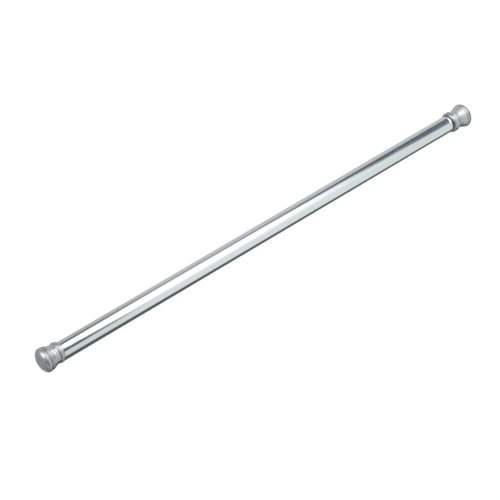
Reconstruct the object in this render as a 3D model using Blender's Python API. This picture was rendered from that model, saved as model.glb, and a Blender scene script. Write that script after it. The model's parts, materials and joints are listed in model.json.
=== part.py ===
"""Telescoping, twist-locking cargo bar for a truck bed.

Two round steel tubes slide one inside the other. A moulded end cup with a
rubber pad closes each outer end and presses against the bed walls. Inside, an
eccentric cam ring on a sprung rod grips the bore of the outer tube when the
inner tube is twisted, and the spring then keeps the pads pressed outwards.

The bar lies along +X. The origin is the centre of the outer tube's pad face.
Dimensions are in millimetres, turned into metres as vertices are made.
Joint travel: twist 0-90 degrees, extension 0-760, spring compression 0-35.
"""

import math

import bmesh
import bpy
from mathutils import Matrix, Vector

MM = 0.001

# --------------------------------------------------------- shared dimensions

BAR_LENGTH = 1000.0     # pad face to pad face, fully collapsed
OUTER_R = 16.0
OUTER_BORE_R = 14.8
INNER_R = 13.0
INNER_BORE_R = 11.8
TUBE_START = 12.7       # each tube's cupped end, from its pad face
TUBE_RIM = 0.4          # chamfer on the tube rims

CUP_GAP = 0.3           # tube to cup socket
FIT_GAP = 0.15          # inserts in the tubes, and the rod in its hub
PIN_GAP = 0.12          # pin to drilled hole
WASHER_R = 11.2

TUBE_SIDES = 48
CUP_SIDES = 40
CAM_SIDES = 32
SMALL_SIDES = 24
SCREW_SIDES = 16
PIN_SIDES = 12

# ----------------------------------------------------------------- materials

CHROME = dict(colour=(0.80, 0.81, 0.82), roughness=0.08, metallic=1.0)
CUP_SILVER = dict(colour=(0.52, 0.53, 0.54), roughness=0.32, metallic=0.35)
PAD_GREY = dict(colour=(0.40, 0.42, 0.41), roughness=0.45, metallic=0.0)
COLLAR_SILVER = dict(colour=(0.42, 0.43, 0.44), roughness=0.24, metallic=0.35)
NYLON_BLACK = dict(colour=(0.03, 0.03, 0.035), roughness=0.4, metallic=0.0)
NYLON_WHITE = dict(colour=(0.78, 0.77, 0.72), roughness=0.45, metallic=0.0)
ZINC = dict(colour=(0.62, 0.62, 0.60), roughness=0.3, metallic=1.0)
CAST_ZINC = dict(colour=(0.5, 0.5, 0.49), roughness=0.45, metallic=1.0)
SPRING_STEEL = dict(colour=(0.30, 0.31, 0.33), roughness=0.35, metallic=1.0)


def material(name, colour, roughness, metallic):
    made = bpy.data.materials.new(name)
    made.use_nodes = True
    shader = next(n for n in made.node_tree.nodes if n.type == "BSDF_PRINCIPLED")
    shader.inputs["Base Color"].default_value = (*colour, 1.0)
    shader.inputs["Roughness"].default_value = roughness
    shader.inputs["Metallic"].default_value = metallic
    made.diffuse_color = (*colour, 1.0)
    made.roughness = roughness
    made.metallic = metallic
    return made


# ------------------------------------------------------------------- objects

SHARP_ANGLE = math.radians(32)
MERGE_DISTANCE = 1e-7   # metres


def make_frame(name, parent=None, location=(0, 0, 0)):
    """An empty that carries pieces moving together."""
    frame = bpy.data.objects.new(name, None)
    frame.empty_display_size = 0.02
    bpy.context.scene.collection.objects.link(frame)
    frame.parent = parent
    frame.location = Vector(location) * MM
    return frame


def world_place(frame):
    place = Vector((0, 0, 0))
    while frame is not None:
        place += frame.location
        frame = frame.parent
    return place


def signed_volume(mesh):
    """Six times the enclosed volume, negative if the faces point inwards."""
    mesh.calc_loop_triangles()
    total = 0.0
    for triangle in mesh.loop_triangles:
        first, second, third = (mesh.vertices[i].co for i in triangle.vertices)
        total += first.dot(second.cross(third))
    return total


def make_object(name, bm):
    """Link a bmesh as an object with its faces pointing outwards."""
    bmesh.ops.remove_doubles(bm, verts=bm.verts, dist=MERGE_DISTANCE)
    bmesh.ops.recalc_face_normals(bm, faces=bm.faces)
    mesh = bpy.data.meshes.new(name)
    bm.to_mesh(mesh)
    bm.free()
    if signed_volume(mesh) < 0:
        mesh.flip_normals()
    obj = bpy.data.objects.new(name, mesh)
    bpy.context.scene.collection.objects.link(obj)
    return obj


def make_piece(name, bm, look, frame):
    """A shaded piece under a frame, kept at its world place."""
    piece = make_object(name, bm)
    mesh = piece.data
    mesh.materials.append(material(name, **look))
    mesh.shade_smooth()
    mesh.set_sharp_from_angle(angle=SHARP_ANGLE)
    piece.parent = frame
    # The mesh is written about the bar's origin, so shift it to the frame's.
    mesh.transform(Matrix.Translation(-world_place(frame)))
    return piece


def make_tool(name, bm):
    """A hidden helper for a Boolean."""
    tool = make_object(name, bm)
    tool.hide_render = True
    tool.display_type = "WIRE"
    return tool


def add_boolean(piece, name, operation, tool):
    modifier = piece.modifiers.new(name, "BOOLEAN")
    modifier.operation = operation
    modifier.solver = "EXACT"
    modifier.object = tool


def cut(piece, name, bm):
    tool = make_tool(name, bm)
    add_boolean(piece, "cut_" + name, "DIFFERENCE", tool)


def join(piece, modifier_name, tool_name, bm):
    add_boolean(piece, modifier_name, "UNION", make_tool(tool_name, bm))


# -------------------------------------------------------------------- shapes


def spin_profile(profile, sides, centre_z=0.0):
    """Spin (x, radius) points about the line along X at z = centre_z.

    A profile whose two ends lie on the axis is left open there.
    """
    bm = bmesh.new()
    points = [bm.verts.new((x * MM, 0.0, (centre_z + r) * MM)) for x, r in profile]
    edges = [bm.edges.new(pair) for pair in zip(points, points[1:])]
    if profile[0][1] != 0.0 or profile[-1][1] != 0.0:
        edges.append(bm.edges.new((points[-1], points[0])))
    bmesh.ops.spin(
        bm,
        geom=points + edges,
        cent=(0.0, 0.0, centre_z * MM),
        axis=(1.0, 0.0, 0.0),
        angle=2 * math.pi,
        steps=sides,
        use_merge=True,
    )
    return bm


def turned(name, profile, look, frame, sides=SMALL_SIDES):
    return make_piece(name, spin_profile(profile, sides), look, frame)


def extrude(outline, x0, x1):
    """A straight bar along X whose section is the outline of (y, z) points."""
    bm = bmesh.new()
    face = bm.faces.new([bm.verts.new((x0 * MM, y * MM, z * MM)) for y, z in outline])
    grown = bmesh.ops.extrude_face_region(bm, geom=[face])
    moved = [item for item in grown["geom"] if isinstance(item, bmesh.types.BMVert)]
    bmesh.ops.translate(bm, verts=moved, vec=((x1 - x0) * MM, 0, 0))
    return bm


def loft(rings, looped=False):
    """Skin rings of (x, y, z) points, capping the ends unless the rings loop round."""
    bm = bmesh.new()
    loops = [[bm.verts.new([value * MM for value in point]) for point in ring] for ring in rings]
    following = loops[1:] + loops[:1] if looped else loops[1:]
    for low, high in zip(loops, following):
        for k in range(len(low)):
            n = (k + 1) % len(low)
            bm.faces.new((low[k], low[n], high[n], high[k]))
    if not looped:
        bm.faces.new(loops[0])
        bm.faces.new(loops[-1])
    return bm


def circle(radius, sides, centre_z=0.0):
    """Points of a circle as (y, z), the first at the top."""
    angles = [2 * math.pi * k / sides for k in range(sides)]
    return [(radius * math.sin(a), centre_z + radius * math.cos(a)) for a in angles]


def flatted_circle(radius, flat, sides=20):
    """A circle of (y, z) points with one flat at z = flat."""
    half = math.acos(flat / radius)
    step = (2 * math.pi - 2 * half) / (sides - 1)
    angles = [half + step * k for k in range(sides)]
    return [(radius * math.sin(a), radius * math.cos(a)) for a in angles]


def cross_pin(name, x, radius, z0, z1, frame, chamfer=0.3):
    """A zinc pin standing along Z at x, with chamfered ends."""
    stations = [
        (z0, radius - chamfer),
        (z0 + chamfer, radius),
        (z1 - chamfer, radius),
        (z1, radius - chamfer),
    ]
    rings = [[(x + dx, y, z) for y, dx in circle(r, PIN_SIDES)] for z, r in stations]
    make_piece(name, loft(rings), ZINC, frame)


def drill(pieces, tag, x, pin_r, z0, z1):
    """Drill each piece along Z with clearance for a pin."""
    for piece in pieces:
        bm = bmesh.new()
        bmesh.ops.create_cone(
            bm,
            cap_ends=True,
            segments=PIN_SIDES,
            radius1=(pin_r + PIN_GAP) * MM,
            radius2=(pin_r + PIN_GAP) * MM,
            depth=(z1 - z0) * MM,
            matrix=Matrix.Translation((x * MM, 0, (z0 + z1) / 2 * MM)),
        )
        cut(piece, f"cut_{tag}_{piece.name}", bm)


def washer(name, x0, x1, bore_r, frame):
    profile = [(x0, bore_r), (x0, WASHER_R), (x1, WASHER_R), (x1, bore_r)]
    turned(name, profile, ZINC, frame)


# --------------------------------------------------------------------- tubes

MOUTH_X = 952.2         # open end of the outer tube
LIP_R = 14.1            # bore of the rolled lip at the mouth
LIP_LENGTH = 2.0
# Roll of the mouth: (distance back from the mouth, drop below the tube's surface).
MOUTH_ROLL = [(6.0, 0.0), (4.6, 0.07), (3.0, 0.3), (1.6, 0.67), (0.5, 1.05)]
BUSH_LENGTH = 26.5      # part of the bush inside the mouth
BUSH_GAP = 0.12         # bush to inner tube
INNER_START_X = 116.3   # hidden end of the inner tube


def build_outer_tube(frame):
    """Plain at the cup, rolled in to a rounded lip at the open mouth."""
    profile = [
        (TUBE_START, OUTER_BORE_R),
        (TUBE_START, OUTER_R - TUBE_RIM),
        (TUBE_START + TUBE_RIM, OUTER_R),
        *[(MOUTH_X - back, OUTER_R - drop) for back, drop in MOUTH_ROLL],
        (MOUTH_X, LIP_R + 0.45),
        (MOUTH_X - 0.3, LIP_R),
        (MOUTH_X - LIP_LENGTH, LIP_R),
        (MOUTH_X - LIP_LENGTH, OUTER_BORE_R),
    ]
    return turned("outer_tube", profile, CHROME, frame, TUBE_SIDES)


def build_inner_tube(frame):
    """Plain tube with both outer rims chamfered."""
    end = BAR_LENGTH - TUBE_START
    profile = [
        (INNER_START_X, INNER_BORE_R),
        (INNER_START_X, INNER_R - TUBE_RIM),
        (INNER_START_X + TUBE_RIM, INNER_R),
        (end - TUBE_RIM, INNER_R),
        (end, INNER_R - TUBE_RIM),
        (end, INNER_BORE_R),
    ]
    return turned("inner_tube", profile, CHROME, frame, TUBE_SIDES)


def build_mouth_bush(frame):
    """Snaps into the lip, turns with the inner tube, and guides it."""
    start = MOUTH_X - BUSH_LENGTH
    shoulder = MOUTH_X - LIP_LENGTH - 0.3
    bore_r = INNER_R + BUSH_GAP
    body_r = OUTER_BORE_R - FIT_GAP
    neck_r = LIP_R - 0.2
    profile = [
        (start, bore_r),
        (start, body_r - 0.6),
        (start + 0.5, body_r),
        (shoulder, body_r),
        (shoulder, neck_r),
        (MOUTH_X + 0.2, neck_r),
        (MOUTH_X + 0.2, LIP_R + 0.6),
        (MOUTH_X + 0.4, LIP_R + 0.8),
        (MOUTH_X + 0.8, LIP_R + 0.7),
        (MOUTH_X + 1.0, LIP_R + 0.3),
        (MOUTH_X + 1.0, bore_r),
    ]
    turned("mouth_bush", profile, NYLON_BLACK, frame, TUBE_SIDES)


# ------------------------------------------------------------------ end cups

PAD_SEAT_R = 18.3       # recess that takes the cup's nose
PAD_SEAT_X = 5.0
NOSE_X = 5.3
NOSE_R = 18.0
NOSE_CHAMFER = 0.6
WEB_X = 12.4            # inward face of the wall that the screw passes through
SCREW_SEAT_X = 9.0      # floor of the recess for the screw head
NECK_R = 17.05
SCREW_HEAD_X0, SCREW_HEAD_X1 = 5.7, 8.6
SCREW_HEAD_R = 4.6
SCREW_R = 2.2
SCREW_END_X = 28.0
PLUG_START_X = 13.1
PLUG_END_X = 39.0
PLUG_CHAMFER = 0.8
PLUG_PIN_X = 34.0
PLUG_PIN_R = 1.8
PLUG_PIN_INSET = 0.5    # pin ends below the tube's surface
PLUG_DRILL_Z = 20.0     # half length of the drilled hole

# Outlines run from the pad face inwards, as (distance, radius). The near cup has
# a bead round its bell; the far cup flares straight out, and its longer collar
# closes down to the thinner tube.
NEAR_PAD = [
    (0.0, 0.0), (0.0, 6.0), (0.3, 9.0), (1.0, 11.8), (2.1, 14.4), (3.4, 16.7), (4.9, 18.7),
    (6.4, 20.2), (7.9, 21.05), (9.4, 21.4), (11.0, 21.4), (12.5, 21.1), (13.2, 20.7), (13.5, 20.1),
]
NEAR_BELL = [
    (13.8, NOSE_R), (13.8, 19.7), (14.3, 20.3), (15.2, 20.7), (16.4, 20.9), (17.7, 20.7),
    (18.9, 20.0), (20.1, 19.1), (21.5, 18.25), (23.0, 17.6), (25.0, 17.2), (27.2, NECK_R),
    (31.5, NECK_R), (32.1, 16.7),
]
NEAR_COLLAR = [
    (32.4, 16.7), (33.1, 18.5), (34.0, 19.3), (35.0, 19.45), (35.8, 19.0), (36.4, 18.45),
    (37.4, 18.6), (38.4, 18.4), (39.5, 17.95), (40.5, 17.3), (41.0, 16.9),
]
FAR_PAD = [
    (0.0, 0.0), (0.0, 6.0), (0.3, 9.4), (0.9, 12.8), (1.8, 16.0), (2.9, 18.4), (4.2, 20.2),
    (5.6, 21.3), (7.2, 21.85), (8.8, 21.9), (10.4, 21.5), (11.6, 21.1), (12.2, 20.7), (12.4, 20.2),
]
FAR_BELL = [
    (12.7, NOSE_R), (12.7, 19.9), (12.9, 20.5), (13.6, 20.75), (15.0, 20.4), (16.8, 19.9),
    (19.0, 19.3), (21.4, 18.6), (24.0, 17.95), (26.6, 17.45), (29.0, 17.15), (31.4, NECK_R),
    (32.9, NECK_R), (33.4, 16.7),
]
FAR_COLLAR = [
    (33.7, 16.7), (34.2, 17.4), (35.0, 17.9), (36.3, 18.7), (37.6, 19.2), (38.8, 19.35),
    (43.6, 19.35), (44.6, 19.0), (45.4, 18.2), (45.9, 17.2), (46.1, 16.2),
]


def pad_profile(outline):
    """Rubber pad: flat centre, domed face, round shoulder, recess at the back."""
    end = outline[-1][0]
    return outline + [(end, PAD_SEAT_R), (PAD_SEAT_X, PAD_SEAT_R), (PAD_SEAT_X, 0.0)]


def bell_profile(outline, socket_r):
    """Cup body: nose under the pad, bell and neck outside, tube socket inside."""
    hole_r = SCREW_R + 0.3
    recess_r = SCREW_HEAD_R + 0.5
    return [
        (NOSE_X, NOSE_R - NOSE_CHAMFER),
        (NOSE_X + NOSE_CHAMFER, NOSE_R),
        *outline,
        (outline[-1][0], socket_r),
        (WEB_X, socket_r),
        (WEB_X, hole_r),
        (SCREW_SEAT_X, hole_r),
        (SCREW_SEAT_X, recess_r),
        (NOSE_X, recess_r),
    ]


def collar_profile(outline, socket_r):
    """Retaining collar, bored for the tube."""
    return outline + [(outline[-1][0], socket_r), (outline[0][0], socket_r)]


def screw_profile():
    return [
        (SCREW_HEAD_X0, 0.0),
        (SCREW_HEAD_X0, SCREW_HEAD_R - 1.2),
        (SCREW_HEAD_X0 + 0.6, SCREW_HEAD_R),
        (SCREW_HEAD_X1, SCREW_HEAD_R),
        (SCREW_HEAD_X1, SCREW_R),
        (SCREW_END_X - 1.0, SCREW_R),
        (SCREW_END_X, SCREW_R - 0.9),
        (SCREW_END_X, 0.0),
    ]


def plug_profile(radius):
    """Tube plug with a blind hole for the screw."""
    hole_r = SCREW_R + 0.25
    return [
        (PLUG_START_X, hole_r),
        (PLUG_START_X, radius - PLUG_CHAMFER),
        (PLUG_START_X + PLUG_CHAMFER, radius),
        (PLUG_END_X - PLUG_CHAMFER, radius),
        (PLUG_END_X, radius - PLUG_CHAMFER),
        (PLUG_END_X, 0.0),
        (SCREW_END_X + 1.0, 0.0),
        (SCREW_END_X + 0.6, hole_r),
    ]


def build_cup(end, outlines, face_x, inward, tube, tube_r, bore_r, frame):
    """One end cup with its screw and plug, pinned to the tube.

    face_x is the pad face, and inward is the sign of X from there into the bar.
    """
    pad, bell, collar = outlines
    socket_r = tube_r + CUP_GAP

    def turn(name, profile, look, sides):
        placed = [(face_x + inward * x, r) for x, r in profile]
        return turned(f"{end}_{name}", placed, look, frame, sides)

    turn("cap_pad", pad_profile(pad), PAD_GREY, CUP_SIDES)
    turn("cap_bell", bell_profile(bell, socket_r), CUP_SILVER, CUP_SIDES)
    turn("cap_collar", collar_profile(collar, socket_r), COLLAR_SILVER, CUP_SIDES)
    turn("cap_screw", screw_profile(), ZINC, SCREW_SIDES)
    plug = turn("tube_plug", plug_profile(bore_r - FIT_GAP), NYLON_BLACK, SMALL_SIDES)

    pin_x = face_x + inward * PLUG_PIN_X
    pin_z = tube_r - PLUG_PIN_INSET
    cross_pin(f"{end}_plug_pin", pin_x, PLUG_PIN_R, -pin_z, pin_z, frame)
    drill((tube, plug), f"{end}_pin", pin_x, PLUG_PIN_R, -PLUG_DRILL_Z, PLUG_DRILL_Z)


# --------------------------------------- guide plug and spring seat, inner tube

ROD_R = 5.0
ROD_FLAT = 3.9          # height of the flat that stops the rod turning
ROD_GAP = 0.12          # rod to guide bore
GUIDE_X0, GUIDE_X1, GUIDE_X2 = 112.0, 116.0, 142.0      # flange, body, end
GUIDE_FLANGE_R = INNER_R - 0.2
GUIDE_CHAMFER = 0.6
RIVET_X = (GUIDE_X1 + GUIDE_X2) / 2
RIVET_R = 1.6
BORE_OVERRUN = 2.0      # bore cutters past each face
TUBE_PIN_Z = INNER_R - 0.3      # outer ends of the rivets and seat pin
TUBE_DRILL_Z = 16.0

SPRING_X0, SPRING_X1 = 145.6, 245.6
SEAT_X0, SEAT_X1 = SPRING_X1 + 0.3, 254.0
SEAT_NOSE_X = SEAT_X0 - 6.0     # the nose reaches inside the spring
SEAT_PIN_X = (SEAT_X0 + SEAT_X1) / 2
SEAT_PIN_R = 1.6


def build_guide_plug(inner_tube, frame):
    """Plug in the inner tube's hidden end; its flatted bore stops the rod turning."""
    body_r = INNER_BORE_R - FIT_GAP
    profile = [
        (GUIDE_X0, 0.0),
        (GUIDE_X0, GUIDE_FLANGE_R - GUIDE_CHAMFER),
        (GUIDE_X0 + GUIDE_CHAMFER, GUIDE_FLANGE_R),
        (GUIDE_X1, GUIDE_FLANGE_R),
        (GUIDE_X1, body_r),
        (GUIDE_X2 - GUIDE_CHAMFER, body_r),
        (GUIDE_X2, body_r - GUIDE_CHAMFER),
        (GUIDE_X2, 0.0),
    ]
    guide = turned("guide_plug", profile, NYLON_WHITE, frame, TUBE_SIDES)
    section = flatted_circle(ROD_R + ROD_GAP, ROD_FLAT + ROD_GAP)
    bore = extrude(section, GUIDE_X0 - BORE_OVERRUN, GUIDE_X2 + BORE_OVERRUN)
    cut(guide, "cut_guide_bore", bore)

    for side, sign in (("top", 1), ("bottom", -1)):
        low, high = sorted((sign * 7.0, sign * TUBE_PIN_Z))
        cross_pin("guide_rivet_" + side, RIVET_X, RIVET_R, low, high, frame)
        low, high = sorted((sign * 6.6, sign * TUBE_DRILL_Z))
        drill((guide, inner_tube), "rivet_" + side, RIVET_X, RIVET_R, low, high)


def build_spring_seat(inner_tube, frame):
    """Spring seat, pinned across the inner tube."""
    seat_r = INNER_BORE_R - FIT_GAP
    profile = [
        (SEAT_NOSE_X, 0.0),
        (SEAT_NOSE_X, 6.2),
        (SEAT_NOSE_X + 0.8, 7.0),
        (SEAT_X0, 7.2),
        (SEAT_X0, seat_r),
        (SEAT_X1, seat_r),
        (SEAT_X1, 0.0),
    ]
    seat = turned("spring_seat", profile, NYLON_WHITE, frame)
    cross_pin("seat_pin", SEAT_PIN_X, SEAT_PIN_R, -TUBE_PIN_Z, TUBE_PIN_Z, frame)
    drill((seat, inner_tube), "seat_pin", SEAT_PIN_X, SEAT_PIN_R, -TUBE_DRILL_Z, TUBE_DRILL_Z)


# ----------------------------------------------------------- rod and twist lock

ROD_X0, ROD_X1 = 62.4, 142.0
ROD_TAIL_X = 152.5
ROD_TAIL_R = 3.0
ROD_TAIL_ROOT = 4.0     # overlap of the tail with the bar
ROD_TAIL_CHAMFER = 0.6

CAM_X0, CAM_X1 = 47.0, 59.0
CAM_OFFSET = 0.75       # eccentricity of the post, towards +Z
CAM_RING_R = 13.62      # ring, centred on the bar at rest
CAM_RING_BORE_R = 9.1
CAM_RING_CHAMFER = 0.6
CAM_POST_R = 9.0
CAM_SCREW_R = 2.0
CAM_SCREW_HEAD_R = 3.9
CAM_SCREW_HOLE_R = 2.3

FLANGE_X0, FLANGE_X1 = CAM_X1 + 0.4, CAM_X1 + 3.2
FLANGE_R = 12.7
HUB_END_X = 75.0
HUB_R = 8.6
SPIGOT_PIN_X = 69.0
SPIGOT_PIN_R = 1.5
SPIGOT_PIN_Z = HUB_R - 0.3
SPIGOT_DRILL_Z = 12.0


def build_lock_rod(frame):
    """Flatted steel bar with a round tail."""
    section = flatted_circle(ROD_R, ROD_FLAT)
    rod = make_piece("lock_rod", extrude(section, ROD_X0, ROD_X1), ZINC, frame)
    tail_profile = [
        (ROD_X1 - ROD_TAIL_ROOT, 0.0),
        (ROD_X1 - ROD_TAIL_ROOT, ROD_TAIL_R),
        (ROD_TAIL_X - ROD_TAIL_CHAMFER, ROD_TAIL_R),
        (ROD_TAIL_X, ROD_TAIL_R - ROD_TAIL_CHAMFER),
        (ROD_TAIL_X, 0.0),
    ]
    join(rod, "tail", "join_rod_tail", spin_profile(tail_profile, SCREW_SIDES))
    return rod


def build_cam_spigot(rod, frame):
    """Eccentric post, flange, and a hub pinned on the rod."""
    socket_r = ROD_R + FIT_GAP
    socket_x = ROD_X0 - 0.3
    profile = [
        (FLANGE_X0, CAM_SCREW_HOLE_R),
        (FLANGE_X0, FLANGE_R - 0.5),
        (FLANGE_X0 + 0.5, FLANGE_R),
        (FLANGE_X1, FLANGE_R),
        (FLANGE_X1, HUB_R),
        (HUB_END_X - 0.6, HUB_R),
        (HUB_END_X, HUB_R - 0.6),
        (HUB_END_X, socket_r),
        (socket_x, socket_r),
        (socket_x, CAM_SCREW_HOLE_R),
    ]
    spigot = turned("cam_spigot", profile, CAST_ZINC, frame, CAM_SIDES)

    post_x0, post_x1 = CAM_X0 - 0.1, CAM_X1 + 1.0
    post_profile = [
        (post_x0, 0.0),
        (post_x0, CAM_POST_R - 0.4),
        (post_x0 + 0.4, CAM_POST_R),
        (post_x1, CAM_POST_R),
        (post_x1, 0.0),
    ]
    join(spigot, "post", "join_cam_post", spin_profile(post_profile, CAM_SIDES, CAM_OFFSET))
    section = circle(CAM_SCREW_HOLE_R, SCREW_SIDES)
    cut(spigot, "cut_spigot_bore", extrude(section, CAM_X0 - 3.0, CAM_X1 + 2.0))

    drill(
        (spigot, rod), "spigot_pin", SPIGOT_PIN_X, SPIGOT_PIN_R, -SPIGOT_DRILL_Z, SPIGOT_DRILL_Z
    )
    cross_pin("spigot_pin", SPIGOT_PIN_X, SPIGOT_PIN_R, -SPIGOT_PIN_Z, SPIGOT_PIN_Z, frame)


def build_cam_ring(frame):
    """Its bore sits on the eccentric post; its outside is centred on the bar."""
    profile = [
        (CAM_X0, 0.0),
        (CAM_X0, CAM_RING_R - CAM_RING_CHAMFER),
        (CAM_X0 + CAM_RING_CHAMFER, CAM_RING_R),
        (CAM_X1 - CAM_RING_CHAMFER, CAM_RING_R),
        (CAM_X1, CAM_RING_R - CAM_RING_CHAMFER),
        (CAM_X1, 0.0),
    ]
    ring = turned("cam_ring", profile, NYLON_WHITE, frame, TUBE_SIDES)
    section = circle(CAM_RING_BORE_R, CAM_SIDES, CAM_OFFSET)
    bore = extrude(section, CAM_X0 - BORE_OVERRUN, CAM_X1 + BORE_OVERRUN)
    cut(ring, "cut_ring_bore", bore)


def build_cam_fastening(frame):
    """Washer and screw that hold the ring on its post."""
    washer("cam_washer", CAM_X0 - 1.9, CAM_X0 - 0.4, CAM_SCREW_HOLE_R, frame)
    head_x0, head_x1 = CAM_X0 - 5.0, CAM_X0 - 2.2
    end = CAM_X1 + 2.4
    profile = [
        (head_x0, 0.0),
        (head_x0, CAM_SCREW_HEAD_R - 0.9),
        (head_x0 + 0.6, CAM_SCREW_HEAD_R),
        (head_x1, CAM_SCREW_HEAD_R),
        (head_x1, CAM_SCREW_R),
        (end - 0.8, CAM_SCREW_R),
        (end, CAM_SCREW_R - 0.8),
        (end, 0.0),
    ]
    turned("cam_screw", profile, ZINC, frame, SCREW_SIDES)


# ------------------------------------------------- tail fastening and main spring

TAIL_BORE_R = ROD_TAIL_R + 0.2
NUT_X0, NUT_X1 = ROD_X1 + 3.3, ROD_X1 + 8.3
NUT_FLAT_R = 5.5        # centre to each flat of the hexagon
NUT_SIDES = 24          # points round each ring, four to a flat

SPRING_MEAN_R = 9.0
SPRING_WIRE_R = 1.1
SPRING_TURNS = 12
CLOSED_PITCH = 2.3 * SPRING_WIRE_R
WIRE_SIDES = 6
STEPS_PER_TURN = 12


def build_tail_fastening(frame):
    """Washer and hexagonal nut that carry the spring on the rod."""
    washer("tail_washer", ROD_X1 + 0.3, ROD_X1 + 3.0, TAIL_BORE_R, frame)

    def bore(angle):
        return TAIL_BORE_R

    def hexagon(angle):
        from_flat = (angle + math.pi / 6) % (math.pi / 3) - math.pi / 6
        return NUT_FLAT_R / math.cos(from_flat)

    angles = [2 * math.pi * k / NUT_SIDES for k in range(NUT_SIDES)]
    rings = [
        [(x, radius(a) * math.sin(a), radius(a) * math.cos(a)) for a in angles]
        for x, radius in ((NUT_X0, bore), (NUT_X0, hexagon), (NUT_X1, hexagon), (NUT_X1, bore))
    ]
    make_piece("tail_nut", loft(rings, looped=True), ZINC, frame)


def spring_x(turn):
    """Axial place of the wire's centre after some turns: one closed turn at each end."""
    first = SPRING_X0 + SPRING_WIRE_R
    last = SPRING_X1 - SPRING_WIRE_R
    if turn < 1:
        return first + CLOSED_PITCH * turn
    if turn > SPRING_TURNS - 1:
        return last - CLOSED_PITCH * (SPRING_TURNS - turn)
    rise = last - first - 2 * CLOSED_PITCH
    return first + CLOSED_PITCH + rise * (turn - 1) / (SPRING_TURNS - 2)


def build_main_spring(frame):
    """Round wire on a helix, with the end turns closed up."""
    wire = circle(SPRING_WIRE_R, WIRE_SIDES)     # (along the bar, outwards)
    rings = []
    for k in range(SPRING_TURNS * STEPS_PER_TURN + 1):
        turn = k / STEPS_PER_TURN
        angle = 2 * math.pi * turn
        ring = []
        for along, outwards in wire:
            r = SPRING_MEAN_R + outwards
            ring.append((spring_x(turn) + along, r * math.sin(angle), r * math.cos(angle)))
        rings.append(ring)
    make_piece("main_spring", loft(rings), SPRING_STEEL, frame)


# ------------------------------------------------------------------ assembly


def build_bar():
    for old in list(bpy.data.objects):
        bpy.data.objects.remove(old, do_unlink=True)

    outer_frame = make_frame("outer_frame")
    twist = make_frame("twist_axis", outer_frame)
    extend = make_frame("extend_axis", twist)
    sprung = make_frame("spring_axis", extend)
    cam = make_frame("cam_axis", sprung, (CAM_X0, 0, CAM_OFFSET))

    outer_tube = build_outer_tube(outer_frame)
    inner_tube = build_inner_tube(extend)
    build_mouth_bush(twist)
    near = (NEAR_PAD, NEAR_BELL, NEAR_COLLAR)
    far = (FAR_PAD, FAR_BELL, FAR_COLLAR)
    build_cup("outer", near, 0.0, 1, outer_tube, OUTER_R, OUTER_BORE_R, outer_frame)
    build_cup("inner", far, BAR_LENGTH, -1, inner_tube, INNER_R, INNER_BORE_R, extend)
    build_guide_plug(inner_tube, extend)
    build_spring_seat(inner_tube, extend)

    rod = build_lock_rod(sprung)
    build_cam_spigot(rod, sprung)
    build_cam_ring(cam)
    build_cam_fastening(sprung)
    build_tail_fastening(sprung)
    build_main_spring(sprung)


build_bar()
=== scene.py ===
"""Looks of a telescoping cargo bar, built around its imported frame.

The bar lies along X, centred on y = z = 0, with Z up. The pad of the outer tube's cup
starts at x = 0, the near end, and the pad of the inner tube's cup ends at x = LENGTH,
the far end. The camera looks down from the -X, -Y side, so "front" is -Y.
"""

import json
import math

import bmesh
import bpy
from mathutils import Matrix, Vector


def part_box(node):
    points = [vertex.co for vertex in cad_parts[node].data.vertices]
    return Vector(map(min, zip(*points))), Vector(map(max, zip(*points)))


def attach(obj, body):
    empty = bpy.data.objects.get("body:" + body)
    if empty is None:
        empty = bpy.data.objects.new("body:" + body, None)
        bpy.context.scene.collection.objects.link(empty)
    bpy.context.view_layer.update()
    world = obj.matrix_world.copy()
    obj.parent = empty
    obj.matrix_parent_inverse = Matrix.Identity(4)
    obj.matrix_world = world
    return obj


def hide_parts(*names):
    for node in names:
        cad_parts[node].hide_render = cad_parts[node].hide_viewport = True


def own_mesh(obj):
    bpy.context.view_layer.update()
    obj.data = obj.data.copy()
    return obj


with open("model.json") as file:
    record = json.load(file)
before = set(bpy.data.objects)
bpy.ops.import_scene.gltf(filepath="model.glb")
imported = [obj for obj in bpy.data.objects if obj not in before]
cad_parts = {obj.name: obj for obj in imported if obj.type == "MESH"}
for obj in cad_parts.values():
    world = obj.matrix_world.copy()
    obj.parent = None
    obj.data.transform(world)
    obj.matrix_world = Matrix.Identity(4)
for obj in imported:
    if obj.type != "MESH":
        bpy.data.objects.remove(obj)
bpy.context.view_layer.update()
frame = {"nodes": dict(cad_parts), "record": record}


# Turned sections are in millimetres; everything else is in metres.
MM = 0.001
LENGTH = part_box("inner_cap_pad")[1].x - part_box("outer_cap_pad")[0].x
LENGTH_MM = LENGTH / MM
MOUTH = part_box("outer_tube")[1].x / MM  # x of the outer tube's open end
OUTER_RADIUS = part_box("outer_tube")[1].z / MM
INNER_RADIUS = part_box("inner_tube")[1].z / MM
BORE_PLAY = 0.3  # gap between a tube and the bore of its cup
# The near cup sits a little off the tube's centre, by the play in its bore.
SLACK = Vector((0.0, 0.00115, 0.00096))
CUP_SIDES = 160
TUBE_SIDES = 192
SHARP_ANGLE = math.radians(30)


# ------------------------------------------------------------- node helpers


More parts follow.
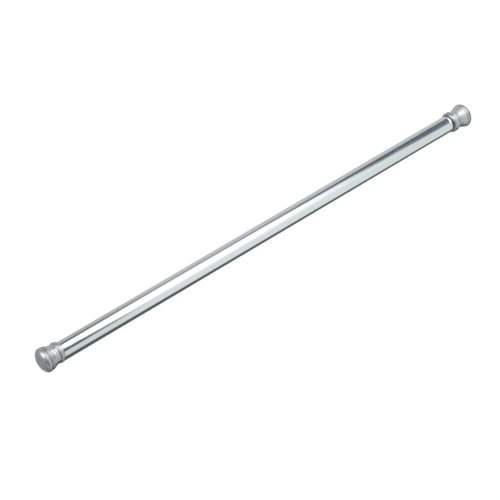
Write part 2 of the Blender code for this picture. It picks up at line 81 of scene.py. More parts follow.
class Graph:
    """Clears the node tree of a material or world, and adds linked nodes to it."""

    def __init__(self, owner, output_kind):
        owner.use_nodes = True
        self.tree = owner.node_tree
        self.tree.nodes.clear()
        self.output = self.node(output_kind)

    def node(self, kind, **settings):
        made = self.tree.nodes.new(kind)
        for key, value in settings.items():
            setattr(made, key, value)
        return made

    def put(self, socket, value):
        """Links a socket into another, or sets its value."""
        if isinstance(value, bpy.types.NodeSocket):
            self.tree.links.new(value, socket)
        elif socket.type == "RGBA":
            socket.default_value = (*value, 1.0)
        else:
            socket.default_value = value

    def fill(self, node, inputs):
        for key, value in inputs.items():
            self.put(node.inputs[key], value)

    def math(self, operation, *values):
        made = self.node("ShaderNodeMath", operation=operation)
        self.fill(made, dict(enumerate(values)))
        return made.outputs[0]

    def share(self, value, amount):
        return self.math("MULTIPLY", value, amount)

    def product(self, first, *others):
        for other in others:
            first = self.math("MULTIPLY", first, other)
        return first

    def ramp(self, value, span, out=(0.0, 1.0)):
        """Smoothstep of value over span, giving out; a span of numbers may run downwards."""
        linked = any(isinstance(end, bpy.types.NodeSocket) for end in span)
        if not linked and span[0] > span[1]:
            span, out = span[::-1], out[::-1]
        made = self.node("ShaderNodeMapRange", interpolation_type="SMOOTHSTEP", clamp=True)
        self.fill(made, {
            "Value": value,
            "From Min": span[0], "From Max": span[1],
            "To Min": out[0], "To Max": out[1],
        })
        return made.outputs[0]

    def mix(self, factor, a, b):
        """Blends colour a into colour b; inputs 6 and 7 are the node's colour pair."""
        made = self.node("ShaderNodeMix", data_type="RGBA")
        self.fill(made, {0: factor, 6: a, 7: b})
        return made.outputs[2]

    def noise(self, vector, scale, detail, rough=0.5, distortion=0.0):
        """Noise of one scale, or stretched by an (x, y, z) scale."""
        if isinstance(scale, tuple):
            mapping = self.node("ShaderNodeMapping")
            self.fill(mapping, {"Vector": vector, "Scale": scale})
            vector, scale = mapping.outputs[0], 1.0
        made = self.node("ShaderNodeTexNoise")
        self.fill(made, {
            "Vector": vector, "Scale": scale, "Detail": detail,
            "Roughness": rough, "Distortion": distortion,
        })
        return made.outputs["Fac"]

    def split(self, vector):
        made = self.node("ShaderNodeSeparateXYZ")
        self.put(made.inputs[0], vector)
        return made.outputs

    def bump(self, height, strength, distance, normal=None):
        made = self.node("ShaderNodeBump")
        self.fill(made, {"Height": height, "Strength": strength, "Distance": distance})
        if normal is not None:
            self.put(made.inputs["Normal"], normal)
        return made.outputs[0]


def shade(colour, by):
    return tuple(min(1.0, c * by) for c in colour)


# ---------------------------------------------------------------- materials

LOOKS = {}


def new_material(name):
    """Adds a material to LOOKS; gives its graph, its shader and the object coordinates."""
    made = bpy.data.materials.new(name)
    LOOKS[name] = made
    g = Graph(made, "ShaderNodeOutputMaterial")
    shader = g.node("ShaderNodeBsdfPrincipled")
    g.put(g.output.inputs["Surface"], shader.outputs[0])
    return g, shader, g.node("ShaderNodeTexCoord").outputs["Object"]


def chrome(name, dull=0.0):
    """Plated tube: near-mirror, drawn lines along it, faint haze and a few fine scuffs."""
    g, shader, where = new_material(name)
    hazy, clear, speckled = (0.865, 0.875, 0.880), (0.905, 0.912, 0.915), (0.70, 0.71, 0.70)
    lines = g.noise(where, scale=(6.0, 900.0, 900.0), detail=4.0, rough=0.6)
    haze = g.noise(where, scale=14.0, detail=4.0, rough=0.6)
    speck = g.noise(where, scale=700.0, detail=2.0, rough=0.7)
    scuff = g.noise(where, scale=(30.0, 260.0, 260.0), detail=5.0, rough=0.7, distortion=1.5)
    scuff = g.ramp(scuff, span=(0.66, 0.74))
    tone = g.mix(haze, hazy, clear)
    tone = g.mix(g.share(g.ramp(speck, span=(0.70, 0.78)), amount=0.25), tone, speckled)
    rough = g.ramp(haze, span=(0.3, 0.75), out=(0.055 + dull, 0.095 + dull))
    rough = g.math("ADD", rough, g.share(lines, amount=0.02))
    rough = g.math("ADD", rough, g.share(scuff, amount=0.10))
    g.fill(shader, {
        "Base Color": tone,
        "Metallic": 1.0,
        "Roughness": rough,
        "Normal": g.bump(lines, strength=0.06, distance=0.00004),
    })


def cup_plastic(name, dark, light, roughness, metallic, painted_shade_span=None, painted_shade_depth=0.0):
    """Silver moulded cup: metallic grain, faint flow lines, rubbed edges, painted shade along
    x.
    """
    g, shader, where = new_material(name)
    grain = g.noise(where, scale=2600.0, detail=2.0, rough=0.6)
    cloud = g.noise(where, scale=55.0, detail=5.0, rough=0.62)
    flow = g.noise(where, scale=(60.0, 420.0, 420.0), detail=3.0)
    tone = g.mix(g.ramp(cloud, span=(0.3, 0.7)), dark, light)
    glints = g.share(g.ramp(grain, span=(0.55, 0.75)), amount=0.14)
    tone = g.mix(glints, tone, shade(light, by=1.35))
    pores = g.share(g.ramp(grain, span=(0.42, 0.25)), amount=0.16)
    tone = g.mix(pores, tone, shade(dark, by=0.6))
    edge = g.node("ShaderNodeNewGeometry").outputs["Pointiness"]
    rubbed = g.ramp(edge, span=(0.52, 0.62), out=(0.0, 0.35))
    tone = g.mix(rubbed, tone, shade(light, by=1.3))
    # Painted shade: between two x the tone is darkened, where the cup should read shaded or
    # reflect something dark.
    if painted_shade_span:
        x = g.split(where)[0]
        painted_dark = g.ramp(x, span=painted_shade_span, out=(0.0, painted_shade_depth))
        tone = g.mix(painted_dark, tone, shade(dark, by=0.45))
    rough = g.ramp(cloud, span=(0.25, 0.75), out=(roughness - 0.05, roughness + 0.07))
    fine = g.bump(grain, strength=0.06, distance=0.00003)
    g.fill(shader, {
        "Base Color": tone,
        "Metallic": metallic,
        "Roughness": g.math("ADD", rough, g.share(flow, amount=0.05)),
        "Coat Roughness": 0.18,
        "Normal": g.bump(flow, strength=0.10, distance=0.00005, normal=fine),
    })


def rubber(name, dark, light, roughness, painted_band_start, painted_band_end, painted_band_depth):
    """Grey rubber pad: fine grain, mottling, wiped streaks and a band of painted shade between
    two x.
    """
    g, shader, where = new_material(name)
    grain = g.noise(where, scale=3200.0, detail=3.0, rough=0.6)
    cloud = g.noise(where, scale=70.0, detail=4.0, rough=0.6)
    streak = g.noise(where, scale=(300.0, 260.0, 24.0), detail=4.0, rough=0.6)
    tone = g.mix(g.ramp(cloud, span=(0.3, 0.7)), dark, light)
    wiped = g.ramp(streak, span=(0.45, 0.7), out=(0.0, 0.22))
    tone = g.mix(wiped, tone, shade(dark, by=0.72))
    glints = g.ramp(grain, span=(0.6, 0.75), out=(0.0, 0.12))
    tone = g.mix(glints, tone, shade(light, by=1.3))
    # Painted shade: the band darkens the pad where it should read shaded or reflect something
    # dark.
    x = g.split(where)[0]
    painted_band = g.product(g.ramp(x, span=painted_band_start, out=(0.0, painted_band_depth)), g.ramp(x, span=painted_band_end))
    tone = g.mix(painted_band, tone, shade(dark, by=0.38))
    fine = g.bump(grain, strength=0.10, distance=0.00005)
    g.fill(shader, {
        "Base Color": tone,
        "Metallic": 0.78,
        "Roughness": g.ramp(
            streak, span=(0.3, 0.7), out=(roughness - 0.06, roughness + 0.08)
        ),
        "Normal": g.bump(streak, strength=0.08, distance=0.00006, normal=fine),
    })


def nylon(name, dark, light):
    """Moulded nylon: soft mottling and a fine grain."""
    g, shader, where = new_material(name)
    cloud = g.noise(where, scale=120.0, detail=4.0, rough=0.6)
    grain = g.noise(where, scale=2400.0, detail=2.0)
    g.fill(shader, {
        "Base Color": g.mix(g.ramp(cloud, span=(0.3, 0.7)), dark, light),
        "Roughness": g.ramp(cloud, span=(0.2, 0.8), out=(0.36, 0.55)),
        "Subsurface Weight": 0.05,
        "Subsurface Scale": 0.002,
        "Normal": g.bump(grain, strength=0.2, distance=0.00004),
    })


def steel(name, dark, light, roughness, line_scale=(40.0, 900.0, 900.0)):
    """Plated or drawn steel: fine machining lines, mottled plating, darker pits."""
    g, shader, where = new_material(name)
    lines = g.noise(where, scale=line_scale, detail=4.0, rough=0.6)
    cloud = g.noise(where, scale=160.0, detail=5.0, rough=0.65)
    pits = g.noise(where, scale=900.0, detail=2.0)
    pits = g.ramp(pits, span=(0.68, 0.78), out=(0.0, 0.5))
    tone = g.mix(g.ramp(cloud, span=(0.3, 0.7)), dark, light)
    g.fill(shader, {
        "Base Color": g.mix(pits, tone, shade(dark, by=0.5)),
        "Metallic": 1.0,
        "Roughness": g.ramp(
            cloud, span=(0.2, 0.8), out=(roughness - 0.07, roughness + 0.1)
        ),
        "Normal": g.bump(lines, strength=0.2, distance=0.00005),
    })


chrome("chrome_tube")
chrome("chrome_inner", dull=0.03)
# The near cup's looks are darker copies of the far cup's: painted shade. The bell is also
# given painted shade at its pad end, full up to x = 16 mm and gone by 20 mm.
cup_plastic(
    "cup_silver", dark=(0.43, 0.435, 0.445), light=(0.485, 0.49, 0.50),
    roughness=0.24, metallic=0.82, painted_shade_span=(0.0200, 0.0160), painted_shade_depth=0.40,
)
cup_plastic(
    "collar_silver", dark=(0.43, 0.435, 0.45), light=(0.49, 0.495, 0.51),
    roughness=0.15, metallic=0.88,
)
# Painted shade: a dark band on the near pad from x = 9.5 mm, full from 11.5 mm to the pad's
# back edge by the crease with the bell.
rubber(
    "pad_grey", dark=(0.395, 0.401, 0.403), light=(0.45, 0.456, 0.458), roughness=0.24,
    painted_band_start=(0.0095, 0.0115), painted_band_end=(0.0160, 0.0150), painted_band_depth=0.38,
)
# The far cup's looks are lighter copies of the near cup's: painted light. The far bell is also
# given painted shade toward its neck, from 22 to 31 mm in from the far end.
cup_plastic(
    "cup_silver_far", dark=(0.475, 0.48, 0.49), light=(0.535, 0.54, 0.55),
    roughness=0.25, metallic=0.80,
    painted_shade_span=(LENGTH - 0.022, LENGTH - 0.031), painted_shade_depth=0.32,
)
# Painted dark reflection on the far collar's end by the tube's mouth: full from 44.8 mm in
# from the far end, gone by 40.5 mm.
cup_plastic(
    "collar_silver_far", dark=(0.48, 0.485, 0.50), light=(0.54, 0.545, 0.56),
    roughness=0.17, metallic=0.86,
    painted_shade_span=(LENGTH - 0.0405, LENGTH - 0.0448), painted_shade_depth=0.50,
)
# Painted dark reflection: a band round the far pad, strongest 4.5 to 8.2 mm in from the far
# end and gone by 1.5 and 10.2 mm.
rubber(
    "pad_grey_far", dark=(0.44, 0.446, 0.448), light=(0.50, 0.506, 0.508), roughness=0.25,
    painted_band_start=(LENGTH - 0.0102, LENGTH - 0.0082),
    painted_band_end=(LENGTH - 0.0015, LENGTH - 0.0045), painted_band_depth=0.85,
)
nylon("nylon_black", dark=(0.018, 0.018, 0.021), light=(0.032, 0.032, 0.036))
nylon("nylon_bush", dark=(0.055, 0.055, 0.060), light=(0.085, 0.085, 0.090))
nylon("nylon_white", dark=(0.62, 0.60, 0.53), light=(0.74, 0.72, 0.66))
steel("zinc_steel", dark=(0.50, 0.50, 0.47), light=(0.66, 0.66, 0.64), roughness=0.30)
steel(
    "cast_zinc", dark=(0.36, 0.36, 0.36), light=(0.48, 0.48, 0.47), roughness=0.45,
    line_scale=(500.0, 500.0, 500.0),
)
steel("spring_steel", dark=(0.20, 0.21, 0.22), light=(0.33, 0.34, 0.36), roughness=0.32)

# Each frame piece takes the look named after its material slot.
SLOT_OF = {s["node"]: s["material_slot"] for s in frame["record"]["subparts"]}
for node_name, node in frame["nodes"].items():
    node.data.materials.clear()
    node.data.materials.append(LOOKS[SLOT_OF[node_name]])


# ------------------------------------------------------------- mesh helpers


def catmull_rom(a, b, c, d, t):
    """Value between b and c, at share t of the way."""
    return 0.5 * (
        2 * b
        + (c - a) * t
        + (2 * a - 5 * b + 4 * c - d) * t * t
        + (3 * b - a - 3 * c + d) * t**3
    )


def smooth_profile(points, sharp, steps=6):
    """Rounds a closed (x, r) section by a Catmull-Rom curve between its sharp corners."""
    out = []
    count = len(points)
    for i in range(count):
        before, start, end, after = (points[(i + k - 1) % count] for k in range(4))
        out.append(start)
        start_sharp, end_sharp = i in sharp, (i + 1) % count in sharp
        if start_sharp and end_sharp:
            continue
        if start_sharp:
            before = (2 * start[0] - end[0], 2 * start[1] - end[1])
        if end_sharp:
            after = (2 * end[0] - start[0], 2 * end[1] - start[1])
        for k in range(1, steps):
            out.append(tuple(
                catmull_rom(before[j], start[j], end[j], after[j], k / steps) for j in (0, 1)
            ))
    return out


def signed_volume(mesh):
    mesh.calc_loop_triangles()
    total = 0.0
    for triangle in mesh.loop_triangles:
        a, b, c = (mesh.vertices[i].co for i in triangle.vertices)
        total += a.dot(b.cross(c))
    return total


def finish_piece(bm, name, look, body, node):
    """Turns a closed bmesh into a smooth object that replaces a node of the frame."""
    bmesh.ops.recalc_face_normals(bm, faces=bm.faces)
    mesh = bpy.data.meshes.new(name)
    bm.to_mesh(mesh)
    bm.free()
    if signed_volume(mesh) < 0:
        mesh.flip_normals()
    mesh.shade_smooth()
    mesh.set_sharp_from_angle(angle=SHARP_ANGLE)
    mesh.materials.append(LOOKS[look])
    made = bpy.data.objects.new(name, mesh)
    bpy.context.scene.collection.objects.link(made)
    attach(made, body)
    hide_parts(node)
    return made


def lathe(name, profile, look, body, node, sides=CUP_SIDES):
    """Spins a closed section of (x, r) in millimetres round the bar's axis."""
    bm = bmesh.new()
    rings = []
    for x, r in profile:
        if r <= 1e-6:
            rings.append([bm.verts.new((x * MM, 0, 0))])
            continue
        ring = []
        for k in range(sides):
            angle = 2 * math.pi * k / sides
            ring.append(
                bm.verts.new((x * MM, r * MM * math.sin(angle), r * MM * math.cos(angle)))
            )
        rings.append(ring)
    for one, two in zip(rings, rings[1:] + rings[:1]):
        if len(one) == 1 and len(two) == 1:
            continue
        for k in range(sides):
            following = (k + 1) % sides
            if len(one) == 1:
                bm.faces.new((one[0], two[k], two[following]))
            elif len(two) == 1:
                bm.faces.new((one[k], two[0], one[following]))
            else:
                bm.faces.new((one[k], two[k], two[following], one[following]))
    return finish_piece(bm, name, look, body, node)


# ----------------------------------------------------------------- end cups

# Sections of the two cups, as (distance from the pad face, radius) in millimetres.
# The pads are whole sections; the bells and collars are outer skins only.
CUPS = {
    "outer": {
        "pad": [
            (0.0, 0.0), (0.0, 3.0), (0.0, 6.0), (0.3, 9.0), (1.0, 11.8), (2.1, 14.4),
            (3.4, 16.7), (4.9, 18.7), (6.4, 20.2), (7.9, 21.05), (9.4, 21.4), (11.0, 21.4),
            (12.5, 21.1), (13.2, 20.7), (13.5, 20.1), (13.5, 19.6), (13.5, 18.3),
            (5.0, 18.3), (5.0, 0.0),
        ],
        "bell": [
            (13.6, 18.0), (13.6, 19.7), (13.9, 20.25), (14.8, 20.6), (16.0, 20.8),
            (17.2, 20.65), (18.5, 20.15), (20.0, 19.5), (21.7, 18.8), (23.5, 18.1),
            (25.4, 17.5), (27.4, 17.15), (29.4, 17.05), (31.4, 17.0), (32.1, 16.7),
        ],
        "collar": [
            (32.4, 16.5), (32.6, 17.1), (33.1, 17.9), (34.0, 18.45), (35.0, 18.55),
            (35.8, 18.1), (36.3, 17.65), (37.3, 17.8), (38.3, 17.7), (39.4, 17.35),
            (40.5, 16.85), (41.0, 16.5),
        ],
    },
    "inner": {
        "pad": [
            (0.0, 0.0), (0.0, 3.0), (0.0, 6.0), (0.3, 9.6), (0.9, 13.1), (1.8, 16.4),
            (2.9, 18.8), (4.2, 20.6), (5.6, 21.7), (7.2, 22.3), (8.8, 22.4), (10.4, 22.0),
            (11.6, 21.5), (12.2, 21.1), (12.4, 20.6), (12.4, 19.9), (12.4, 18.3),
            (5.0, 18.3), (5.0, 0.0),
        ],
        "bell": [
            (12.7, 18.0), (12.7, 20.1), (12.9, 20.8), (13.6, 21.05), (15.0, 20.6),
            (16.8, 19.95), (19.0, 19.1), (21.4, 18.25), (24.0, 17.55), (26.6, 17.1),
            (29.0, 16.95), (31.0, 16.95), (32.0, 16.9), (32.4, 16.6),
        ],
        "collar": [
            (32.7, 16.5), (33.0, 17.2), (33.6, 18.0), (34.4, 18.7), (35.4, 19.2),
            (36.6, 19.5), (38.0, 19.55), (40.0, 19.45), (42.0, 19.35), (43.4, 19.1),
            (44.5, 18.55), (45.3, 17.75), (45.8, 16.95), (46.0, 16.1),
        ],
    },
}


def build_cup(end, bore, far):
    """Pad, bell and collar of one cup; the far cup is mirrored along the bar."""
    pad, bell, collar = (CUPS[end][part] for part in ("pad", "bell", "collar"))
    # The bell's inside: the tube's bore, then a stepped boss that reaches into the pad.
    bell_inside = [
        (bell[-1][0], bore), (12.4, bore), (12.4, 2.5), (9.0, 2.5),
        (9.0, 5.1), (5.3, 5.1), (5.3, 17.4), (5.9, 18.0),
    ]
    collar_inside = [(collar[-1][0], bore), (collar[0][0], bore)]
    bell_end, collar_end = len(bell), len(collar)
    # Part, material slot, section and the indices of its sharp corners.
    pieces = (
        ("pad", "pad_grey", pad, {0, 1, *range(len(pad) - 4, len(pad))}),
        ("bell", "cup_silver", bell + bell_inside, {0, 1, *range(bell_end - 1, bell_end + 8)}),
        ("collar", "collar_silver", collar + collar_inside,
         {0, *range(collar_end - 1, collar_end + 2)}),
    )
    for part, slot, points, sharp in pieces:
        section = smooth_profile(points, sharp)
        if far:
            section = [(LENGTH_MM - x, r) for x, r in section]
        # Far pieces take the lighter far copies of the looks: painted light against the near
        # cup's painted shade.
        look = slot + "_far" if far else slot
        made = lathe(f"{end}_{part}", section, look, end, f"{end}_cap_{part}")
        made.location = SLACK * (not far)


build_cup("outer", bore=OUTER_RADIUS + BORE_PLAY, far=False)
build_cup("inner", bore=INNER_RADIUS + BORE_PLAY, far=True)

# ----------------------------------------------------------- tubes and bush

# Outer tube: its section turns in round the mouth.
lathe(
    "outer_tube_shell",
    smooth_profile(
        [
            (32.8, 14.8), (32.8, 15.6), (33.2, 16.0), (MOUTH - 7.0, 16.0), (MOUTH - 6.0, 16.0),
            (MOUTH - 4.6, 15.93), (MOUTH - 3.0, 15.7), (MOUTH - 1.6, 15.33),
            (MOUTH - 0.5, 14.95), (MOUTH, 14.6), (MOUTH - 0.3, 14.3), (MOUTH - 2.0, 14.2),
            (MOUTH - 2.0, 14.8),
        ],
        sharp={*range(5), 10, 11, 12},
    ),
    "chrome_tube", body="outer", node="outer_tube", sides=TUBE_SIDES,
)

# Inner tube: a plain wall with a small chamfer at each end.
WALL = 1.2
CHAMFER = 0.4
tube_start, tube_end = (corner.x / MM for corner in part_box("inner_tube"))
lathe(
    "inner_tube_shell",
    [
        (tube_start, INNER_RADIUS - WALL), (tube_start, INNER_RADIUS - CHAMFER),
        (tube_start + CHAMFER, INNER_RADIUS), (tube_end - CHAMFER, INNER_RADIUS),
        (tube_end, INNER_RADIUS - CHAMFER), (tube_end, INNER_RADIUS - WALL),
    ],
    "chrome_inner", body="inner", node="inner_tube", sides=TUBE_SIDES,
)

# Bush between the tubes, waisted where the outer tube's mouth turns in.
bush_low, bush_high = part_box("mouth_bush")
bush_radius = bush_high.z / MM
bush_start, bush_end = bush_low.x / MM, bush_high.x / MM
lathe(
    "mouth_bush_ring",
    smooth_profile(
        [
            (bush_start, INNER_RADIUS + 0.12), (bush_start, bush_radius - 0.8),
            (bush_start + 0.7, bush_radius - 0.25), (MOUTH - 2.3, bush_radius - 0.25),
            (MOUTH - 2.3, 13.9), (MOUTH + 0.2, 13.9), (MOUTH + 0.2, bush_radius - 0.2),
            (MOUTH + 0.4, bush_radius), (bush_end - 0.2, bush_radius - 0.1),
            (bush_end, bush_radius - 0.5), (bush_end, INNER_RADIUS + 0.5),
            (bush_end - 0.4, INNER_RADIUS + 0.12),
        ],
        sharp=set(range(12)) - {7, 8},
    ),
    "nylon_bush", body="mouth_bush", node="mouth_bush",
)

# ------------------------------------------------------------- main spring

# Round wire on a helix with one closed turn at each end. Its low-x end stays put and
# the rest is squashed toward it by the spring_compress joint.
WIRE_RADIUS = 1.1 * MM
TURNS = 12
STEPS_PER_TURN = 30
WIRE_SIDES = 12
TIP_SHARE = 0.72  # radius of the wire's tips, as a share of the wire's

spring_low, spring_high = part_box("main_spring")
coil_start, coil_end = spring_low.x + WIRE_RADIUS, spring_high.x - WIRE_RADIUS
coil_radius = spring_high.z - WIRE_RADIUS
closed_pitch = 2.3 * WIRE_RADIUS
open_pitch = (coil_end - coil_start - 2 * closed_pitch) / (TURNS - 2)


def coil_x(turn):
    if turn < 1:
        return coil_start + closed_pitch * turn
    if turn > TURNS - 1:
        return coil_end - closed_pitch * (TURNS - turn)
    return coil_start + closed_pitch + open_pitch * (turn - 1)


def build_spring():
    tip = 0.25 * WIRE_RADIUS / (2 * math.pi * coil_radius)  # a tip's length, in turns
    stations = [(k / STEPS_PER_TURN, 1.0) for k in range(TURNS * STEPS_PER_TURN + 1)]
    stations = [(-tip, TIP_SHARE), *stations, (TURNS + tip, TIP_SHARE)]
    bm = bmesh.new()
    rings = []
    for turn, share in stations:
        angle = 2 * math.pi * turn
        radial = Vector((0, math.sin(angle), math.cos(angle)))
        centre = radial * coil_radius + Vector((coil_x(turn), 0, 0))
        ring = []
        for j in range(WIRE_SIDES):
            around = 2 * math.pi * j / WIRE_SIDES
            outward = radial * math.cos(around) + Vector((math.sin(around), 0, 0))
            ring.append(bm.verts.new(centre + WIRE_RADIUS * share * outward))
        rings.append(ring)
    for one, two in zip(rings, rings[1:]):
        for j in range(WIRE_SIDES):
            following = (j + 1) % WIRE_SIDES
            bm.faces.new((one[j], one[following], two[following], two[j]))
    bm.faces.new(rings[0])
    bm.faces.new(rings[-1])
    return finish_piece(bm, "main_coil", "spring_steel", "lock", "main_spring")


coil = build_spring()
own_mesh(coil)

# -------------------------------------------------------------------- world

scene = bpy.context.scene
scene.view_settings.view_transform = "Standard"
scene.view_settings.look = "None"
scene.view_settings.exposure = 0.0
scene.view_settings.gamma = 1.0

world = bpy.data.worlds.new("studio")
scene.world = world
g = Graph(world, "ShaderNodeOutputWorld")

# The room is painted by direction. dir_x is the direction's part along the bar, -1 to 1;
# turn is its angle round the bar in degrees: 0 to the front, 90 up, 180 to the back and
# -90 down, running from -135 to 225.
dir_x, dir_y, dir_z = g.split(g.node("ShaderNodeTexCoord").outputs["Generated"])
turn = g.math("DEGREES", g.math("ARCTAN2", dir_z, g.math("MULTIPLY", dir_y, -1.0)))
turn = g.math("ADD", turn, g.math("MULTIPLY", g.math("LESS_THAN", turn, -135.0), 360.0))


def along(start, end, out=(0.0, 1.0)):
    """Fade along the bar, as dir_x goes from start to end."""
    return g.ramp(dir_x, (start, end), out)


def sweep(start, end):
    """Fade round the bar, as turn goes from start to end."""
    return g.ramp(turn, (start, end))


def above(level, under, over):
    """Fade round the bar, from under degrees below a level to over degrees above it."""
    return sweep(g.math("SUBTRACT", level, under), g.math("ADD", level, over))


def bent(base, bend, slope):
    """A level in degrees that changes by slope per unit of dir_x past the bend."""
    past = g.math("MAXIMUM", g.math("SUBTRACT", dir_x, bend), 0.0)
    return g.math("MULTIPLY_ADD", past, slope, base)


def grey(level, tint):
    """Linear colour of an 8-bit display level, with a small tint in display levels."""
    return tuple((((level + t) / 255.0 + 0.055) / 1.055) ** 2.4 for t in tint)


FRONT_TINT = (-5, 4, 2)
FLOOR_DARK = grey(90, (-2, 3, 1))
BACK = grey(200, (-3, 0, 4))
DIM = grey(178, (-2, 1, 1))
NEAR_END = grey(176, (-2, 1, 1))
FAR_END = grey(96, (-3, 1, 3))
SOFTBOX = (1.13, 1.15, 1.16)
SOFTBOX_CORE = (3.3, 3.33, 3.36)
FAR_PANEL = (2.5, 2.53, 2.56)
NEAR_PANEL = (3.0, 3.03, 3.06)

# Room in front of the bar: rows of fade start, fade end and display level.
front = grey(229, FRONT_TINT)
for start, end, level in ((0.45, 0.37, 214), (0.55, 0.61, 221), (0.33, 0.22, 238)):
    front = g.mix(along(start, end), front, grey(level, FRONT_TINT))
# It darkens under a horizon that drops toward the far end and past the near end.
horizon = g.math("MULTIPLY_ADD", g.math("MAXIMUM", dir_x, 0.36), -97.0, 2.0)
horizon = g.math("ADD", horizon, along(0.36, 0.20, out=(0.0, -38.0)))
tone = g.mix(above(horizon, under=9.0, over=9.0), FLOOR_DARK, front)
# Below the bar the dark floor gives way to the pale back.
floor_edge = along(-0.42, -0.20, out=(-84.0, -110.0))
tone = g.mix(sweep(floor_edge, g.math("SUBTRACT", floor_edge, 21.0)), tone, BACK)

# Card seen past the softbox: pale mid-bar, dark and blue-grey toward the far end.
card = g.mix(along(0.45, 0.385), grey(156, (-2, 0, 3)), grey(104, (-3, 2, 3)))
card = g.mix(along(0.49, 0.565), card, grey(98, (-9, 2, 11)))
card_low = along(0.585, 0.63, out=(64.0, 44.0))
unlit = g.mix(above(card_low, under=9.0, over=9.0), tone, card)
unlit = g.mix(along(0.545, 0.585), tone, unlit)

# Overhead softbox: it fades up from the front, has a hot core, and stops at both ends.
softbox_ends = g.product(along(0.612, 0.505), along(-0.92, -0.7))
softbox_top = bent(base=114.0, bend=0.44, slope=-125.0)
softbox_top = bent(base=softbox_top, bend=0.51, slope=-150.0)
lit = g.mix(sweep(12.0, 66.0), tone, SOFTBOX)
core = g.product(
    sweep(46.0, 64.0), g.product(sweep(98.0, 78.0), along(0.53, 0.47)), along(-0.30, 0.35)
)
lit = g.mix(core, lit, SOFTBOX_CORE)
tone = g.mix(softbox_ends, unlit, lit)

# Dark spot above the front horizon, under a top that slopes steeply along the bar.
spot_top = g.math("SUBTRACT", g.math("MAXIMUM", dir_x, 0.372), 0.38)
spot_top = g.math("MULTIPLY_ADD", spot_top, -1000.0, 68.0)
spot_fade = sweep(g.math("ADD", spot_top, 6.0), g.math("SUBTRACT", spot_top, 6.0))
spot = g.product(spot_fade, sweep(18.0, 29.0), along(0.24, 0.32))
tone = g.mix(spot, tone, grey(88, (-5, 3, 2)))

# Past the softbox's top edge: the card, then the back wall.
tone = g.mix(above(softbox_top, under=5.0, over=5.0), tone, card)
wall_low = along(0.40, 0.58, out=(138.0, 124.0))
wall = g.mix(along(0.46, 0.375), BACK, grey(182, (-3, 0, 3)))
tone = g.mix(above(wall_low, under=10.0, over=12.0), tone, wall)

# Bright panel overhead beyond the far end, over a dark far end.
panel = g.product(
    along(0.655, 0.70), along(0.95, 0.87), g.product(sweep(22.0, 48.0), sweep(130.0, 106.0))
)
tone = g.mix(along(0.89, 0.985), tone, FAR_END)
tone = g.mix(panel, tone, FAR_PANEL)

# Dim corner low and behind the near end, and the near end itself.
behind = g.math("MAXIMUM", sweep(-70.0, -105.0), sweep(130.0, 175.0))
tone = g.mix(g.product(along(0.05, -0.2), behind), tone, DIM)
tone = g.mix(along(-0.88, -0.98), tone, NEAR_END)

# A second panel, high behind the near end, lights the shoulder of the near pad.
panel_top = along(-0.58, -0.72, out=(126.0, 168.0))
panel_fade = sweep(panel_top, g.math("SUBTRACT", panel_top, 20.0))
panel = g.product(
    along(-0.50, -0.66), along(-1.0, -0.93), g.product(sweep(80.0, 98.0), panel_fade)
)
tone = g.mix(panel, tone, NEAR_PANEL)

# The room in front falls off past the near end.
fall = g.product(along(-0.15, -0.60), g.product(sweep(-70.0, -40.0), sweep(45.0, 25.0)))
tone = g.mix(g.share(fall, amount=0.85), tone, FLOOR_DARK)

# The camera sees white and diffuse rays an even grey; the rest see the painted room.
CAMERA_WHITE = (1.0, 1.0, 1.0)
DIFFUSE_GREY = (0.52, 0.53, 0.54)
camera_ray = g.node("ShaderNodeLightPath").outputs["Is Camera Ray"]
diffuse_ray = g.node("ShaderNodeLightPath").outputs["Is Diffuse Ray"]
background = g.node("ShaderNodeBackground")
g.fill(background, {
    "Color": g.mix(camera_ray, g.mix(diffuse_ray, tone, DIFFUSE_GREY), CAMERA_WHITE),
    "Strength": 1.0,
})
g.put(g.output.inputs["Surface"], background.outputs[0])

# -------------------------------------------------- floor, light and camera

FLOOR_GAP = 0.0008  # floor below the lowest pad


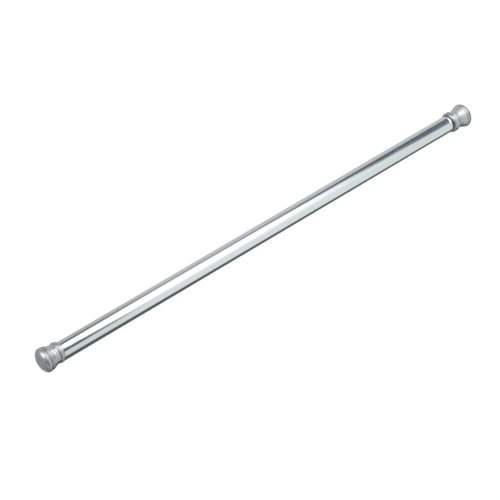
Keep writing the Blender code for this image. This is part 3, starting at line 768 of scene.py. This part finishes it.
def pale_floor():
    """Nearly all glow, with a trace of shaded surface that takes shadows."""
    g, shader, where = new_material("pale_floor")
    cloud = g.noise(where, scale=3.0, detail=4.0)
    g.fill(shader, {
        "Base Color": g.mix(cloud, (0.93, 0.93, 0.93), (0.95, 0.95, 0.95)),
        "Roughness": 0.9,
        "Specular IOR Level": 0.1,
    })
    glow = g.node("ShaderNodeEmission")
    g.put(glow.inputs["Strength"], 1.02)
    both = g.node("ShaderNodeMixShader")
    shaded_share = 0.05
    g.fill(both, {0: shaded_share, 1: glow.outputs[0], 2: shader.outputs[0]})
    g.put(g.output.inputs["Surface"], both.outputs[0])


def build_floor():
    """Pale floor for the camera; the painted room, not the floor, shows in the chrome."""
    lowest = min(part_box("outer_cap_pad")[0].z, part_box("inner_cap_pad")[0].z)
    bm = bmesh.new()
    for x, y in ((-6, -6), (7, -6), (7, 6), (-6, 6)):
        bm.verts.new((x, y, lowest - FLOOR_GAP))
    bm.faces.new(bm.verts)
    mesh = bpy.data.meshes.new("studio_floor")
    bm.to_mesh(mesh)
    bm.free()
    floor = bpy.data.objects.new("studio_floor", mesh)
    scene.collection.objects.link(floor)
    pale_floor()
    mesh.materials.append(LOOKS["pale_floor"])
    floor.visible_glossy = False
    floor.visible_diffuse = False


def build_light():
    """Softbox above the bar, aimed at its axis and hidden from reflections."""
    place, target = Vector((0.5, 0.1, 2.2)), Vector((0.5, 0.0, 0.0))
    data = bpy.data.lights.new("overhead_softbox", "AREA")
    data.shape = "RECTANGLE"
    data.size = 3.4
    data.size_y = 2.6
    data.energy = 95.0
    light = bpy.data.objects.new("overhead_softbox", data)
    scene.collection.objects.link(light)
    light.location = place
    light.rotation_euler = (target - place).to_track_quat("-Z", "Y").to_euler()
    light.visible_glossy = False


def build_camera():
    """Long lens, looking down at the bar from beyond its near end."""
    right = (0.7466743, -0.6651899, 0.0)
    up = (0.4428086, 0.4970518, 0.7462306)
    backward = (-0.4963850, -0.5571912, 0.6656876)
    data = bpy.data.cameras.new("camera")
    data.sensor_width = 36.0
    data.lens = 110.88
    data.clip_start = 0.01
    camera = bpy.data.objects.new("camera", data)
    scene.collection.objects.link(camera)
    pose = Matrix((right, up, backward)).transposed().to_4x4()
    pose.translation = (-0.88760608, -1.5003312, 1.76945984)
    camera.matrix_world = pose
    scene.camera = camera


build_floor()
build_light()
build_camera()
